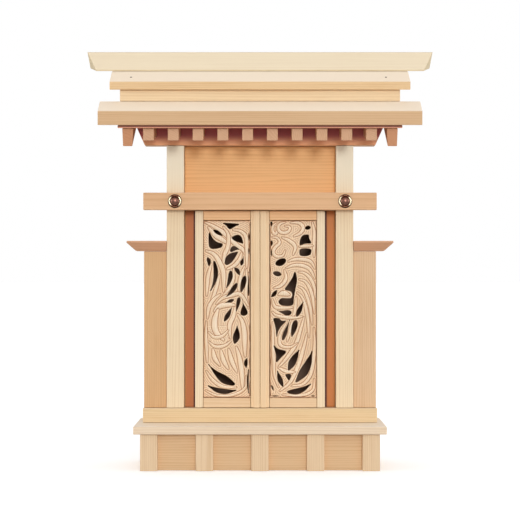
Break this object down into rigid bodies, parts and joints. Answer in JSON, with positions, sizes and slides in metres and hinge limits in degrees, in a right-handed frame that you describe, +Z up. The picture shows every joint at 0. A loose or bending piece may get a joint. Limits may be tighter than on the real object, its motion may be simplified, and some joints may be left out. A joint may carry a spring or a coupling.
{
  "type": "kamidana",
  "caption": "Thin household Shinto shrine of plain wood: layered roof on rafters, carved pierced double doors that swing open, side wings and a stepped base.",
  "frame": {"origin": "middle of the underside, on the surface that the shrine stands on", "axes": "+Z up, -Y out of the doors towards the viewer, +Y towards the wall, +X to the viewer's right"},
  "size_m": [0.325, 0.096, 0.3865],
  "materials": {
    "pale_wood": "planed, unfinished",
    "tan_wood": "planed, unfinished",
    "warm_wood": "planed, unfinished",
    "brass": "polished"
  },
  "bodies": {
    "shrine": {"back_panel": "pale_wood", "bargeboard_left": "warm_wood", "bargeboard_right": "warm_wood", "base_back": "tan_wood", "base_board": "pale_wood", "base_side_left": "tan_wood", "base_side_right": "tan_wood", "column_left": "pale_wood", "column_right": "pale_wood", "eave_beam": "warm_wood", "eave_board": "tan_wood", "jamb_left": "warm_wood", "jamb_right": "warm_wood", "kickboard": "tan_wood", "lintel": "tan_wood", "plinth": "warm_wood", "post_1": "pale_wood", "post_2": "pale_wood", "post_3": "pale_wood", "post_4": "pale_wood", "post_5": "pale_wood", "rafter_01": "pale_wood", "rafter_02": "pale_wood", "rafter_03": "pale_wood", "rafter_04": "pale_wood", "rafter_05": "pale_wood", "rafter_06": "pale_wood", "rafter_07": "pale_wood", "rafter_08": "pale_wood", "rafter_09": "pale_wood", "rafter_10": "pale_wood", "rafter_plate": "tan_wood", "ridge_cap": "pale_wood", "roof_riser": "tan_wood", "sheathing": "tan_wood", "side_wall_left": "pale_wood", "side_wall_right": "pale_wood", "stud_left": "brass", "stud_right": "brass", "tie_beam": "tan_wood", "upper_panel": "warm_wood", "upper_roof_board": "pale_wood", "wing_cap_left": "warm_wood", "wing_cap_right": "warm_wood", "wing_left": "tan_wood", "wing_right": "tan_wood"},
    "door_left": {"hinge_stile_left": "pale_wood", "meeting_stile_left": "pale_wood", "top_rail_left": "pale_wood", "bottom_rail_left": "pale_wood", "carved_panel_left": "warm_wood"},
    "door_right": {"hinge_stile_right": "pale_wood", "meeting_stile_right": "pale_wood", "top_rail_right": "pale_wood", "bottom_rail_right": "pale_wood", "carved_panel_right": "warm_wood"}
  },
  "joints": [
    {"name": "door_left_hinge", "type": "hinge", "parent": "shrine", "child": "door_left", "pos_m": [-0.0564, 0.0013, 0.145], "axis": [0, 0, -1], "range_deg": [0, 110]},
    {"name": "door_right_hinge", "type": "hinge", "parent": "shrine", "child": "door_right", "pos_m": [0.0564, 0.0013, 0.145], "axis": [0, 0, 1], "range_deg": [0, 110]}
  ]
}
